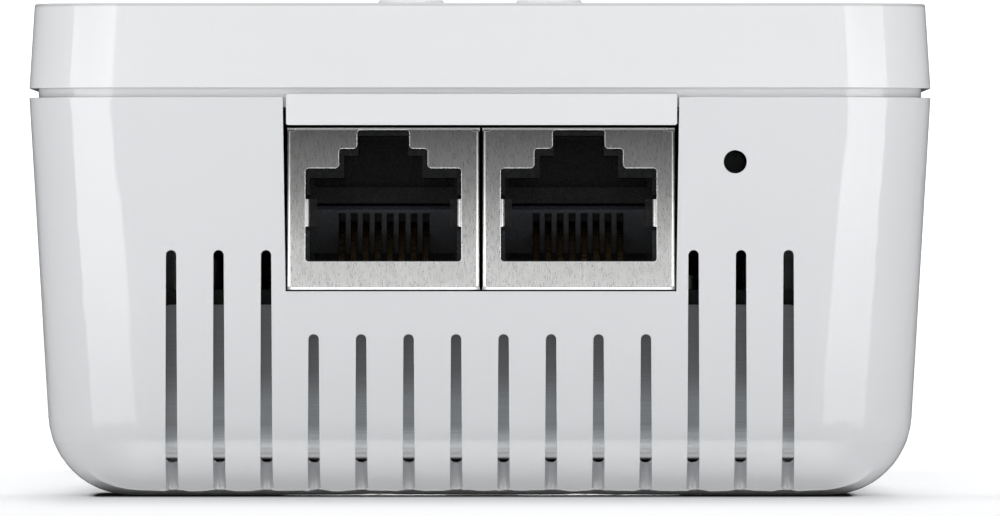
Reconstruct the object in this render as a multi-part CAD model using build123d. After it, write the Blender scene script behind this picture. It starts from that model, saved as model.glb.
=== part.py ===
"""Powerline adapter with a pass-through mains socket, as an assembly of separate pieces.

Millimetres. The origin is the mains plug's axis on the plane of the rear face. +Z runs from the
rear face to the front cover, -Y points to the end with the network ports, and +X is to the right
when the ports face the viewer.
"""

import os
from math import radians, tan

from build123d import *

# ---- Case: outline at the parting plane, draft and walls ----
HALF_WIDTH = 38.2
Y_NEAR = -106.0
Y_FAR = 46.0
PARTING_Z = 34.05
FRONT_Z = 41.6
SHELL_TOP_Z = 33.65
COVER_BOTTOM_Z = 34.45
SHELL_DRAFT_ANGLE = 3.23
COVER_DRAFT_ANGLE = 3.5
SHELL_DRAFT = tan(radians(SHELL_DRAFT_ANGLE))
COVER_DRAFT = tan(radians(COVER_DRAFT_ANGLE))
PLAN_RADIUS = 8.0
PLAN_RADIUS_REAR = 9.0
REAR_FILLET = 7.0
COVER_EDGE = 0.2
WALL = 2.0
LIP_INSET = 0.8
LIP_CLEARANCE = 0.1
LIP_BOTTOM_Z = 32.8
LIP_TOP_Z = 36.5
LIP_INNER_INSET = 3.0

# ---- Vents in the end walls ----
VENT_PITCH = 4.0
VENT_COLUMNS = 14
VENT_TOP_WIDTH = 0.87
VENT_BOTTOM_WIDTH = 1.05
VENT_DEPTH = 4.0
VENT_LOW_Z = -2.0
VENT_SHORT_TOP = 13.7
VENT_LONG_TOP = 20.8
VENT_LONG_FROM_X = 17.0

# ---- Port opening, tongue and jacks ----
NOTCH_LEFT = -16.6
NOTCH_RIGHT = 16.8
NOTCH_BOTTOM_Z = 17.3
NOTCH_TAPER = 0.25
TONGUE_LEFT = -16.3
TONGUE_RIGHT = 16.6
TONGUE_BOTTOM_Z = 31.3
TONGUE_TOP_Z = 33.9
JACK_WIDTH = 16.2
JACK_HEIGHT = 13.65
JACK_DEPTH = 21.0
JACK_BOTTOM_Z = 17.42
JACK_PITCH = 16.45
JACK_MIDDLE_X = 0.1
JACK_FACE_Y = -105.4
SHIELD_SHEET = 0.25
SHIELD_BEND = 0.28
SHIELD_CORNER_CUT = 0.29
SHIELD_TOP_CUT = 0.62
PORT_HALF = 6.57
PORT_LOW_Z = 19.8
FINGER_LOW_Z = 22.75
FINGER_HIGH_Z = 25.05
MOUTH_HALF = 6.2
MOUTH_LOW_Z = 19.9
MOUTH_DEPTH = 9.5
LEDGE_LOW_Z = 24.75
LEDGE_HIGH_Z = 26.1
COMB_TOP_Z = 24.5
COMB_LOW_Z = 20.5
COMB_PROUD = 0.9
CONTACT_PITCH = 1.016
CONTACT_COUNT = 8
CONTACT_WIDTH = 0.42

# ---- Reset pinhole, buttons and lamps ----
RESET_X = 21.5
RESET_Z = 28.2
RESET_RADIUS = 0.975
BUTTON_X = 5.9
BUTTON_Y = -84.0
BUTTON_WIDTH = 5.6
BUTTON_LENGTH = 11.0
BUTTON_PROUD = 0.6
BUTTON_EDGE = 0.25
LAMP_Y = -66.0
LAMP_PITCH = 6.0
LAMP_COUNT = 4
LAMP_RADIUS = 1.1

# ---- Mains plug and socket ----
PIN_X = 9.5
PIN_RADIUS = 2.4
PIN_LENGTH = 19.0
PLUG_RADIUS = 18.4
PLUG_FACE_Z = -17.0
PLUG_FLANGE_RADIUS = 22.0
PLUG_FLANGE_TOP_Z = 3.2
RECESS_RADIUS = 19.75
RECESS_FLOOR_Z = 24.1
SOCKET_WALL_RADIUS = 21.3
SOCKET_RIM_RADIUS = 22.6
SOCKET_FLOOR = 2.0
SOCKET_HOLE_RADIUS = 2.75
SOCKET_BASE_RADIUS = 17.4
SHUTTER_TRAVEL = 6.0
SHUTTER_FLOOR_Z = 17.7
SHUTTER_GAP = 0.15
SHUTTER_HALF = 4.2
SHUTTER_COVER = 6.1
SPRING_START_X = -6.4
SPRING_POST_X = 2.2

# ---- Circuit boards ----
MAIN_BOARD_TOP_Z = 17.4
MAIN_BOARD_THICK = 1.6
MAIN_BOARD_HALF = 30.0
MAIN_BOARD_NEAR_Y = -98.0
MAIN_BOARD_FAR_Y = -62.0
UPPER_BOARD_BOTTOM_Z = 31.4
UPPER_BOARD_THICK = 1.2
UPPER_BOARD_HALF = 30.0
UPPER_BOARD_NEAR_Y = -98.0
UPPER_BOARD_FAR_Y = -30.0
POWER_BOARD_BOTTOM_Z = 5.4
POWER_BOARD_THICK = 1.6
POWER_BOARD_HALF = 33.0
POWER_BOARD_NEAR_Y = -60.0
POWER_BOARD_FAR_Y = 40.0
POWER_BOARD_HOLE_RADIUS = 23.5
POWER_SCREWS = [(-28.0, -54.0), (28.0, -54.0), (0, 36.0)]
MAIN_SCREWS = [(-24.0, -66.0), (24.0, -66.0)]
UPPER_SCREWS = [(-26.0, -72.5), (26.0, -72.5), (-26.0, -32.2), (26.0, -32.2)]

# ---- Heat plate ----
PLATE_LEFT = -26.7
PLATE_RIGHT = 26.7
PLATE_TOP_Z = 16.15
PLATE_FACE_Y = -100.0
PLATE_THICK = 1.5
PLATE_BOTTOM_Z = 3.0
PLATE_FAR_Y = -26.0
PLATE_BEND = 2.6

# ---- Case screws ----
SCREW_X = 26.2
SCREW_NEAR_Y = -84.0
SCREW_FAR_Y = 33.0
BOSS_RADIUS = 3.7
SCREW_HEAD_RADIUS = 2.6
SCREW_RADIUS = 1.5
BOSS_SPLIT_Z = 20.0
SCREW_SEAT_Z = 12.0

# ---- Rating label ----
LABEL_HALF = 22.0
LABEL_NEAR_Y = -92.0
LABEL_FAR_Y = -48.0
LABEL_THICK = 0.15


def block(x0, x1, y0, y1, z0, z1):
    """A box between two opposite corners."""
    centre = Pos((x0 + x1) / 2, (y0 + y1) / 2, (z0 + z1) / 2)
    return centre * Box(x1 - x0, y1 - y0, z1 - z0)


def rod(x, y, z0, z1, radius):
    """A round bar that stands along Z."""
    return Pos(x, y, (z0 + z1) / 2) * Cylinder(radius, z1 - z0)


def lying_rod(x, y0, y1, z, radius):
    """A round bar that lies along Y."""
    return Pos(x, (y0 + y1) / 2, z) * Rot(90, 0, 0) * Cylinder(radius, y1 - y0)


def soft_block(x0, x1, y0, y1, z0, z1, radius):
    """A box with its upright edges rounded."""
    outline = Pos((x0 + x1) / 2, (y0 + y1) / 2, z0) * RectangleRounded(x1 - x0, y1 - y0, radius)
    return extrude(outline, z1 - z0)


def prism_along_x(points, x0, x1):
    """A (y, z) outline carried from x0 to x1."""
    outline = Plane.YZ.offset(x0) * make_face(Polyline(*points, close=True))
    return extrude(outline, x1 - x0)


def prism_along_y(points, y0, y1):
    """An (x, z) outline carried from y0 to y1."""
    outline = Plane.XZ.offset(-y1) * make_face(Polyline(*points, close=True))
    return extrude(outline, y1 - y0)


def ring(x, y, z0, z1, outer, inner):
    """A round tube that stands along Z."""
    return rod(x, y, z0, z1, outer) - rod(x, y, z0 - 1, z1 + 1, inner)


def at_corners(x, near_y, far_y):
    """The four places at +-x and the two y values."""
    return [(side * x, y) for side in (-1, 1) for y in (near_y, far_y)]


def draft_at(z):
    """How far the case outline has drawn in at height z, from the parting plane."""
    if z < PARTING_Z:
        return (PARTING_Z - z) * SHELL_DRAFT
    return (z - PARTING_Z) * COVER_DRAFT


def case_section(z, inset):
    """The case outline at height z, moved inwards by inset."""
    pull = draft_at(z) + inset
    share = max(0.0, (PARTING_Z - z) / PARTING_Z)
    radius = PLAN_RADIUS + share * (PLAN_RADIUS_REAR - PLAN_RADIUS) - inset
    width = 2 * (HALF_WIDTH - pull)
    length = Y_FAR - Y_NEAR - 2 * pull
    return Pos(0, (Y_FAR + Y_NEAR) / 2, z) * RectangleRounded(width, length, radius)


def case_block(z0, z1, inset):
    """The solid between two case outlines."""
    return loft([case_section(z0, inset), case_section(z1, inset)], ruled=True)


def near_wall_y(z):
    """The outer face of the port end wall at height z."""
    return Y_NEAR + draft_at(z)


def vent_cutter(x, top_z, end):
    """One vent: a blade with a round nose, cut into an end wall and through the rear edge."""
    half_top = VENT_TOP_WIDTH / 2
    half_bottom = VENT_BOTTOM_WIDTH / 2
    low = VENT_LOW_Z
    straight = top_z - half_top
    side = Polyline((-half_top, straight), (-half_bottom, low), (half_bottom, low), (half_top, straight))
    crown = ThreePointArc((half_top, straight), (0, top_z), (-half_top, straight))
    front = Plane.XZ * make_face([side, crown])
    front = extrude(front, amount=VENT_DEPTH + 4, both=True)
    nose = VENT_DEPTH - half_bottom
    plan = Rectangle(2 * half_bottom, nose + 2, align=(Align.CENTER, Align.MIN))
    plan = Pos(0, -2) * plan + Pos(0, nose) * Circle(half_bottom)
    plan = extrude(Pos(0, 0, low) * plan, top_z - low + 1)
    lean = Rot(SHELL_DRAFT_ANGLE, 0, 0)
    blade = Pos(x, near_wall_y(0), 0) * lean * (front & plan)
    if end == "far":
        blade = Pos(0, Y_NEAR + Y_FAR, 0) * mirror(blade, about=Plane.XZ)
    return blade


def vent_columns():
    """Each vent's x and the height of its top."""
    first = -(VENT_COLUMNS - 1) / 2 * VENT_PITCH
    columns = []
    for index in range(VENT_COLUMNS):
        x = first + index * VENT_PITCH
        top = VENT_LONG_TOP if abs(x) > VENT_LONG_FROM_X else VENT_SHORT_TOP
        columns.append((x, top))
    return columns


def notch_cutter():
    """The port opening in the shell's end wall, open at the top."""
    points = [
        (NOTCH_LEFT, PARTING_Z),
        (NOTCH_LEFT + NOTCH_TAPER, NOTCH_BOTTOM_Z),
        (NOTCH_RIGHT - NOTCH_TAPER, NOTCH_BOTTOM_Z),
        (NOTCH_RIGHT, PARTING_Z),
    ]
    return prism_along_y(points, Y_NEAR - 1, Y_NEAR + 6)


def rear_shell():
    """The tub: drafted walls, soft rear edge, vents, port opening, pinhole and screw bosses."""
    outer = case_block(0, PARTING_Z, 0)
    outer = fillet(outer.faces().sort_by(Axis.Z)[0].edges(), REAR_FILLET)
    outer -= block(-50, 50, -120, 60, SHELL_TOP_Z, PARTING_Z + 1)
    cavity = case_block(WALL, PARTING_Z, WALL)
    cavity = fillet(cavity.faces().sort_by(Axis.Z)[0].edges(), REAR_FILLET - WALL)
    shell = outer - cavity
    shell -= case_block(LIP_BOTTOM_Z - LIP_CLEARANCE, PARTING_Z, LIP_INSET - LIP_CLEARANCE)
    for x, y in at_corners(SCREW_X, SCREW_NEAR_Y, SCREW_FAR_Y):
        shell += rod(x, y, WALL / 2, BOSS_SPLIT_Z, BOSS_RADIUS)
        shell -= rod(x, y, -1, SCREW_SEAT_Z, SCREW_HEAD_RADIUS + 0.3)
        shell -= rod(x, y, -1, BOSS_SPLIT_Z + 1, SCREW_RADIUS + 0.1)
    for x, y in POWER_SCREWS:
        shell += rod(x, y, WALL / 2, POWER_BOARD_BOTTOM_Z, 2.6)
        shell -= rod(x, y, WALL, POWER_BOARD_BOTTOM_Z + 1, 1.0)
    for x, y in MAIN_SCREWS:
        shell += rod(x, y, WALL / 2, MAIN_BOARD_TOP_Z - MAIN_BOARD_THICK, 2.8)
        shell -= rod(x, y, 8.0, MAIN_BOARD_TOP_Z, 1.0)
    shell -= rod(0, 0, -1, WALL + 1, PLUG_RADIUS + 0.1)
    for x, top in vent_columns():
        shell -= vent_cutter(x, top, "near")
        shell -= vent_cutter(x, VENT_SHORT_TOP, "far")
    shell -= notch_cutter()
    shell -= lying_rod(RESET_X, Y_NEAR - 1, Y_NEAR + 6, RESET_Z, RESET_RADIUS)
    label = (-LABEL_HALF - 0.2, LABEL_HALF + 0.2, LABEL_NEAR_Y - 0.2, LABEL_FAR_Y + 0.2)
    shell -= soft_block(*label, -1, LABEL_THICK + 0.05, 1.6)
    return shell


def stadium(x, y, width, length, z0, z1):
    """An upright bar with a stadium outline, long along Y."""
    return soft_block(x - width / 2, x + width / 2, y - length / 2, y + length / 2, z0, z1, width / 2 - 0.01)


def lamp_places():
    """The x of each status lamp."""
    return [(index - (LAMP_COUNT - 1) / 2) * LAMP_PITCH for index in range(LAMP_COUNT)]


def front_cover():
    """The tray that closes the case, with the socket opening, button holes and lamp holes."""
    outer = case_block(COVER_BOTTOM_Z, FRONT_Z, 0)
    outer = fillet(outer.faces().sort_by(Axis.Z)[-1].edges(), COVER_EDGE)
    cover = outer - case_block(COVER_BOTTOM_Z - 0.2, FRONT_Z - WALL, WALL)
    cover -= case_block(PARTING_Z, LIP_TOP_Z + LIP_CLEARANCE, LIP_INSET - LIP_CLEARANCE)
    for x, y in at_corners(SCREW_X, SCREW_NEAR_Y, SCREW_FAR_Y):
        cover += rod(x, y, BOSS_SPLIT_Z, FRONT_Z - WALL / 2, BOSS_RADIUS - 0.6)
        cover -= rod(x, y, BOSS_SPLIT_Z - 1, BOSS_SPLIT_Z + 10, SCREW_RADIUS - 0.2)
    cover -= rod(0, 0, COVER_BOTTOM_Z, FRONT_Z + 1, SOCKET_WALL_RADIUS + 0.1)
    cover -= rod(0, 0, FRONT_Z - 1.0, FRONT_Z + 1, SOCKET_RIM_RADIUS + 0.1)
    for x in (-BUTTON_X, BUTTON_X):
        width = BUTTON_WIDTH + 0.3
        length = BUTTON_LENGTH + 0.3
        cover -= stadium(x, BUTTON_Y, width, length, FRONT_Z - WALL - 1, FRONT_Z + 1)
    for x in lamp_places():
        cover -= rod(x, LAMP_Y, FRONT_Z - WALL - 1, FRONT_Z + 1, LAMP_RADIUS + 0.05)
    return cover


def mid_frame():
    """The inner frame: a lip between shell and cover, two cross bars and the port tongue."""
    lower = [case_section(z, LIP_INSET) for z in (LIP_BOTTOM_Z, PARTING_Z, LIP_TOP_Z)]
    frame = loft(lower, ruled=True)
    frame -= case_block(LIP_BOTTOM_Z - 1, LIP_TOP_Z + 1, LIP_INNER_INSET)
    frame = frame + tongue()
    for y0, y1 in ((-74.5, -70.5), (-34.0, -30.5)):
        bar = block(-36.5, 36.5, y0, y1, UPPER_BOARD_BOTTOM_Z + UPPER_BOARD_THICK + 0.2, 35.0)
        frame += bar & case_block(LIP_BOTTOM_Z - 1, LIP_TOP_Z, LIP_INSET + 1)
    for x, y in UPPER_SCREWS:
        frame -= rod(x, y, 30, 34.6, 0.9)
    return frame


def tongue():
    """The tab that closes the top of the port opening, flush with the shell's end wall."""
    skin = case_block(LIP_BOTTOM_Z - 3, PARTING_Z, 0)
    tab = soft_block_xz(TONGUE_LEFT, TONGUE_RIGHT, TONGUE_BOTTOM_Z, TONGUE_TOP_Z, 0.18)
    return skin & tab


def soft_block_xz(x0, x1, z0, z1, radius):
    """The tongue's outline with small corner radii, carried back through the wall."""
    outline = Pos((x0 + x1) / 2, (z0 + z1) / 2) * RectangleRounded(x1 - x0, z1 - z0, radius)
    near = Y_NEAR - 1
    far = Y_NEAR + WALL + 0.3
    return extrude(Plane.XZ.offset(-far) * outline, far - near)


def jack_middle(side):
    """The x of the left (-1) or right (+1) jack's middle."""
    return JACK_MIDDLE_X + side * JACK_PITCH / 2


def stepped_outline(half, low, shoulder, half_1, step_1, half_2, top):
    """The opening of a network port: a wide mouth with two steps up to the latch way."""
    right = [(half, low), (half, shoulder), (half_1, shoulder)]
    right += [(half_1, step_1), (half_2, step_1), (half_2, top)]
    left = [(-x, z) for x, z in reversed(right)]
    return right + left


def shield_opening(side):
    """The hole in a shield's front, with small round corners."""
    points = stepped_outline(PORT_HALF, PORT_LOW_Z, 27.67, 3.74, 29.32, 2.2, 30.89)
    hole = make_face(Polyline(*points, close=True))
    hole = fillet(hole.vertices(), 0.3)
    hole = Plane.XZ.offset(-(JACK_FACE_Y + 1)) * Pos(jack_middle(side), 0) * hole
    return extrude(hole, 2)


def spring_finger(x, inward):
    """A side tongue of a shield, rolled back into the port so that it presses on a plug."""
    path = [(-0.1, 0.0), (0.16, 0.02), (0.32, 0.14), (0.42, 0.45), (0.75, 1.7), (0.95, 3.0), (0.7, 4.6)]
    sheet = [(0.48, 4.6), (0.72, 3.0), (0.52, 1.7), (0.19, 0.5), (0.12, 0.3), (0.0, 0.25), (-0.1, 0.25)]
    points = [(x + inward * px, JACK_FACE_Y + py) for px, py in path + sheet]
    face = make_face(Polyline(*points, close=True))
    return extrude(Pos(0, 0, FINGER_LOW_Z) * face, FINGER_HIGH_Z - FINGER_LOW_Z)


def shield_corner_cuts(x, side):
    """What is cut away where a shield's folds meet at the top and bottom corners of its front."""
    edge = x + side * JACK_WIDTH / 2
    top = JACK_BOTTOM_Z + JACK_HEIGHT
    inner = edge - side * SHIELD_TOP_CUT
    low = top - SHIELD_CORNER_CUT
    outline = [(edge + side, low), (inner, low), (inner - side * 0.2, top + 0.1), (edge + side, top + 0.1)]
    cuts = prism_along_y(outline, JACK_FACE_Y - 1, JACK_FACE_Y + 1.2)
    near, far = sorted((edge - side * SHIELD_CORNER_CUT, edge + side))
    low_top = JACK_BOTTOM_Z + SHIELD_CORNER_CUT
    return cuts + block(near, far, JACK_FACE_Y - 1, JACK_FACE_Y + 1.2, low_top - 1, low_top)


def jack_shield(side):
    """A folded steel can, open at the bottom and back, with the stepped port in its front."""
    x = jack_middle(side)
    half = JACK_WIDTH / 2
    top = JACK_BOTTOM_Z + JACK_HEIGHT
    back = JACK_FACE_Y + JACK_DEPTH
    can = block(x - half, x + half, JACK_FACE_Y, back, JACK_BOTTOM_Z, top)
    can = fillet(can.faces().sort_by(Axis.Y)[0].edges(), SHIELD_BEND)
    inner = block(
        x - half + SHIELD_SHEET,
        x + half - SHIELD_SHEET,
        JACK_FACE_Y + SHIELD_SHEET,
        back + 1,
        JACK_BOTTOM_Z + SHIELD_SHEET,
        top - SHIELD_SHEET,
    )
    can -= inner
    rim = half - 1
    can -= block(x - rim, x + rim, JACK_FACE_Y + 3, back + 1, JACK_BOTTOM_Z - 1, JACK_BOTTOM_Z + 1)
    can -= shield_opening(side)
    for corner in (-1, 1):
        can -= shield_corner_cuts(x, corner)
        can += spring_finger(x + corner * PORT_HALF, -corner)
        leg = x + corner * (half - SHIELD_SHEET / 2)
        can += block(leg - 0.12, leg + 0.12, -97.0, -95.6, MAIN_BOARD_TOP_Z - 3.4, JACK_BOTTOM_Z + 1)
    return can


def jack_housing(side):
    """The moulded body inside a shield: the plug cavity, a contact comb and finger pockets."""
    x = jack_middle(side)
    gap = SHIELD_SHEET + 0.05
    half = JACK_WIDTH / 2 - gap
    front = JACK_FACE_Y + gap
    deep = front + MOUTH_DEPTH
    back = JACK_FACE_Y + JACK_DEPTH
    body = block(x - half, x + half, front, back, JACK_BOTTOM_Z + gap, JACK_BOTTOM_Z + JACK_HEIGHT - gap)
    mouth = stepped_outline(MOUTH_HALF, MOUTH_LOW_Z, 26.84, 3.3, 28.7, 2.1, 30.4)
    body -= prism_along_y([(x + px, pz) for px, pz in mouth], front - 1, deep)
    upper = stepped_outline(MOUTH_HALF - 0.3, LEDGE_HIGH_Z, 26.84, 3.3, 28.7, 2.1, 30.1)
    body -= prism_along_y([(x + px, pz) for px, pz in upper], deep - 1, deep + 4.5)
    comb = block(x - MOUTH_HALF, x + MOUTH_HALF, deep - COMB_PROUD, deep + 0.5, COMB_LOW_Z, COMB_TOP_Z)
    body += chamfer(comb.edges().filter_by(Axis.X).group_by(Axis.Z)[-1].sort_by(Axis.Y)[0], 0.3)
    body -= block(x - 5.9, x + 5.9, deep - 1, deep + 8, COMB_TOP_Z, LEDGE_LOW_Z)
    body -= block(x - 5.9, x + 5.9, deep - 1, deep + 3, MOUTH_LOW_Z, COMB_LOW_Z)
    for corner in (-1, 1):
        pocket = sorted((x + corner * 5.3, x + corner * 6.9))
        body -= block(*pocket, front - 1, front + 6.5, FINGER_LOW_Z - 0.35, FINGER_HIGH_Z + 0.35)
    for contact_x in contact_places(x):
        body -= block(contact_x - 0.3, contact_x + 0.3, deep - 1, deep + 2.5, 18.5, 23.9)
        body -= block(contact_x - 0.3, contact_x + 0.3, front + 1.6, deep + 2.5, 18.5, MOUTH_LOW_Z + 0.1)
    return body


def contact_places(x):
    """The x of each contact wire in a jack."""
    middle = (CONTACT_COUNT - 1) / 2
    return [x + (index - middle) * CONTACT_PITCH for index in range(CONTACT_COUNT)]


def jack_contacts(side):
    """Eight spring wires that rise from the mouth's floor to the comb at the back."""
    front = JACK_FACE_Y + SHIELD_SHEET + 0.05
    low = 18.9
    wire = 0.32
    path = [(10.8, low), (2.3, low), (2.0, low + 0.5), (2.4, low + 0.95), (9.9, 23.0), (11.0, 23.2)]
    inner = [(10.8, low + wire), (2.6, low + wire), (2.35, low + 0.5)]
    inner += [(2.55, low + 0.66), (10.0, 22.66), (11.0, 22.88)]
    points = [(front + py, pz) for py, pz in path + list(reversed(inner))]
    wires = []
    for x in contact_places(jack_middle(side)):
        wires.append(prism_along_x(points, x - CONTACT_WIDTH / 2, x + CONTACT_WIDTH / 2))
    return Compound(children=wires)


def heat_plate():
    """A bent aluminium plate: a flange behind the vents and a base along the shell's floor."""
    near = PLATE_FACE_Y
    flange = soft_flange()
    floor_z = PLATE_BOTTOM_Z + PLATE_THICK
    base = block(PLATE_LEFT, PLATE_RIGHT, near + PLATE_BEND, PLATE_FAR_Y, PLATE_BOTTOM_Z, floor_z)
    turn_y = near + PLATE_BEND
    turn_z = PLATE_BOTTOM_Z + PLATE_BEND
    bend = Pos(0, turn_y, turn_z) * Rot(0, 90, 0) * Cylinder(PLATE_BEND, 200)
    bend -= Pos(0, turn_y, turn_z) * Rot(0, 90, 0) * Cylinder(PLATE_BEND - PLATE_THICK, 210)
    bend &= block(PLATE_LEFT, PLATE_RIGHT, near, turn_y, PLATE_BOTTOM_Z, turn_z)
    plate = flange + bend + base
    for x, y in MAIN_SCREWS + POWER_SCREWS:
        plate -= rod(x, y, 0, 10, 3.2)
    for x in (-SCREW_X, SCREW_X):
        plate -= rod(x, SCREW_NEAR_Y, 0, 10, BOSS_RADIUS + 0.5)
    return plate


def soft_flange():
    """The heat plate's upright part, with small radii at its top corners."""
    low = PLATE_BOTTOM_Z + PLATE_BEND
    height = PLATE_TOP_Z - low
    width = PLATE_RIGHT - PLATE_LEFT
    outline = Pos((PLATE_LEFT + PLATE_RIGHT) / 2, low + height / 2) * Rectangle(width, height)
    outline = fillet(outline.vertices().group_by(Axis.Y)[-1], 0.5)
    return extrude(Plane.XZ.offset(-(PLATE_FACE_Y + PLATE_THICK)) * outline, PLATE_THICK)


def plug_body():
    """The moulded body of the mains plug, held by its flange inside the shell."""
    body = rod(0, 0, PLUG_FACE_Z, PLUG_FLANGE_TOP_Z, PLUG_RADIUS)
    body = chamfer(body.faces().sort_by(Axis.Z)[0].edges(), 0.8)
    body += rod(0, 0, WALL, PLUG_FLANGE_TOP_Z, PLUG_FLANGE_RADIUS)
    for side in (-1, 1):
        body -= block(side * 18.9 - 1.9, side * 18.9 + 1.9, -2.7, 2.7, PLUG_FACE_Z - 1, -0.5)
        body -= rod(side * PIN_X, 0, PLUG_FACE_Z - 1, 5, PIN_RADIUS + 0.3)
        low, high = sorted((side * 17.25, side * 20.0))
        body -= block(-3.3, 3.3, low, high, PLUG_FACE_Z - 1, 5)
        low, high = sorted((0, side * 20.0))
        body -= block(-3.3, 3.3, low, high, PLUG_FLANGE_TOP_Z - 0.85, 5)
    body -= rod(0, 10.0, PLUG_FACE_Z - 1, -1.0, 2.6)
    return body


def plug_pin(side):
    """One mains pin: round bar with a rounded tip and a collar that is moulded in."""
    tip_z = PLUG_FACE_Z - PIN_LENGTH
    pin = rod(side * PIN_X, 0, tip_z, 4.2, PIN_RADIUS)
    pin = fillet(pin.faces().sort_by(Axis.Z)[0].edges(), 1.1)
    return pin + rod(side * PIN_X, 0, PLUG_FACE_Z, 4.2, PIN_RADIUS + 0.3)


def plug_earth_strap():
    """One strip: an earth contact on each flank of the plug, joined by a cross bar."""
    strap = block(-3.0, 3.0, -18.1, 18.1, 2.35, 3.15)
    for side in (-1, 1):
        low, high = sorted((side * 17.3, side * 18.1))
        strap += block(-3.0, 3.0, low, high, PLUG_FACE_Z + 1.2, 3.15)
    return strap


def socket_insert():
    """The round recess of the front socket: wall, floor, pin holes, guide ribs, earth slots."""
    low = RECESS_FLOOR_Z - SOCKET_FLOOR
    rim_z = FRONT_Z - 0.3
    cup = rod(0, 0, low, rim_z, SOCKET_WALL_RADIUS) + rod(0, 0, FRONT_Z - 1.0, rim_z, SOCKET_RIM_RADIUS)
    cup -= rod(0, 0, RECESS_FLOOR_Z, FRONT_Z + 1, RECESS_RADIUS)
    cup = chamfer(cup.edges().filter_by(GeomType.CIRCLE).group_by(Axis.Z)[-1], 0.25)
    for side in (-1, 1):
        rib = block(side * 19.1 - 1.3, side * 19.1 + 1.3, -2.2, 2.2, RECESS_FLOOR_Z - 1, FRONT_Z - 3.0)
        cup += rib & rod(0, 0, low, FRONT_Z, RECESS_RADIUS + 0.5)
        cup -= rod(side * PIN_X, 0, low - 1, FRONT_Z, SOCKET_HOLE_RADIUS)
        dish = Pos(side * PIN_X, 0, RECESS_FLOOR_Z) * Cone(SOCKET_HOLE_RADIUS, SOCKET_HOLE_RADIUS + 0.7, 1.0)
        cup -= dish
        low_y, high_y = sorted((side * 17.2, side * 20.7))
        cup -= block(-3.3, 3.3, low_y, high_y, low - 1, FRONT_Z - 1.6)
    return cup


def socket_base():
    """The contact carrier under the recess, with the shutter's chamber in its top."""
    base = rod(0, 0, 5.0, RECESS_FLOOR_Z - SOCKET_FLOOR, SOCKET_BASE_RADIUS)
    for side in (-1, 1):
        low, high = sorted((side * 6.0, side * 20.0))
        base -= block(low, high, -2.7, 2.7, 4, 5.3)
    top = RECESS_FLOOR_Z - SOCKET_FLOOR
    near_end = -PIN_X - SHUTTER_COVER / 2 - 0.5
    far_end = PIN_X + SHUTTER_COVER / 2 + SHUTTER_TRAVEL + 0.5
    base += block(near_end - 1.2, far_end + 1.2, -6.0, 6.0, SHUTTER_FLOOR_Z - 1.5, top)
    base -= block(near_end, far_end, -SHUTTER_HALF - 0.3, SHUTTER_HALF + 0.3, SHUTTER_FLOOR_Z, top + 1)
    for side in (-1, 1):
        base -= rod(side * PIN_X, 0, 4, SHUTTER_FLOOR_Z + 1, 3.5)
    return base + block(SPRING_POST_X, SPRING_POST_X + 0.8, -1.6, 1.6, SHUTTER_FLOOR_Z - 0.2, top - 0.4)


def socket_shutter():
    """The child shutter: a wedge over each pin hole, joined by two rails.

    A pin pressed on a wedge slides the shutter towards +X until the pin passes beside it.
    """
    low = SHUTTER_FLOOR_Z + SHUTTER_GAP
    high = RECESS_FLOOR_Z - SOCKET_FLOOR - SHUTTER_GAP
    half = SHUTTER_COVER / 2
    shutter = Part()
    for x in (-PIN_X, PIN_X):
        wedge = [(x - half, low), (x + half, low), (x + half, high), (x - half, low + 0.6)]
        shutter += prism_along_y(wedge, -SHUTTER_HALF, SHUTTER_HALF)
    for side in (-1, 1):
        near, far = sorted((side * (SHUTTER_HALF - 1.0), side * SHUTTER_HALF))
        shutter += block(-PIN_X, PIN_X, near, far, low, low + 1.2)
    return shutter


def shutter_spring():
    """The coil spring that pushes the shutter back over the holes."""
    length = SPRING_POST_X - SPRING_START_X - 0.4
    turns = Helix(pitch=length / 8, height=length, radius=1.1)
    wire = Plane(turns @ 0, z_dir=turns % 0) * Circle(0.16)
    coil = sweep(wire, path=turns)
    return Pos(SPRING_START_X + 0.2, 0, 19.9) * Rot(0, 90, 0) * coil


def mains_contact(side):
    """A socket sleeve on a strip that joins the plug pin, with a lug up to the power board."""
    sleeve = ring(side * PIN_X, 0, 4.9, 17.4, 3.2, PIN_RADIUS + 0.08)
    slit_low, slit_high = sorted((side * PIN_X, side * (PIN_X - 5)))
    sleeve -= block(slit_low, slit_high, -0.4, 0.4, 5.6, 20)
    low, high = sorted((side * 6.4, side * 27.0))
    strip = block(low, high, -2.5, 2.5, 4.2, 5.0)
    low, high = sorted((side * 26.2, side * 27.0))
    return sleeve + strip + block(low, high, -2.0, 2.0, 4.2, 8.4)


def socket_earth_strap():
    """One bent strip: a cross bar and two sprung arms that stand in the recess."""
    arm = [(0, 3.2), (19.9, 3.2), (19.9, 27.0), (18.3, 33.5), (19.5, 38.6), (18.7, 38.6), (17.4, 33.5)]
    arm += [(19.1, 27.0), (19.1, 4.0), (0, 4.0)]
    strap = prism_along_x(arm, -2.5, 2.5)
    return strap + mirror(strap, about=Plane.XZ)


def board(half, near_y, far_y, z0, z1, notch_places):
    """A circuit board with rounded corners, cleared round the case bosses."""
    plate = soft_block(-half, half, near_y, far_y, z0, z1, 1.5)
    for x, y in notch_places:
        plate -= rod(x, y, z0 - 1, z1 + 1, BOSS_RADIUS + 0.6)
    return plate


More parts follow.
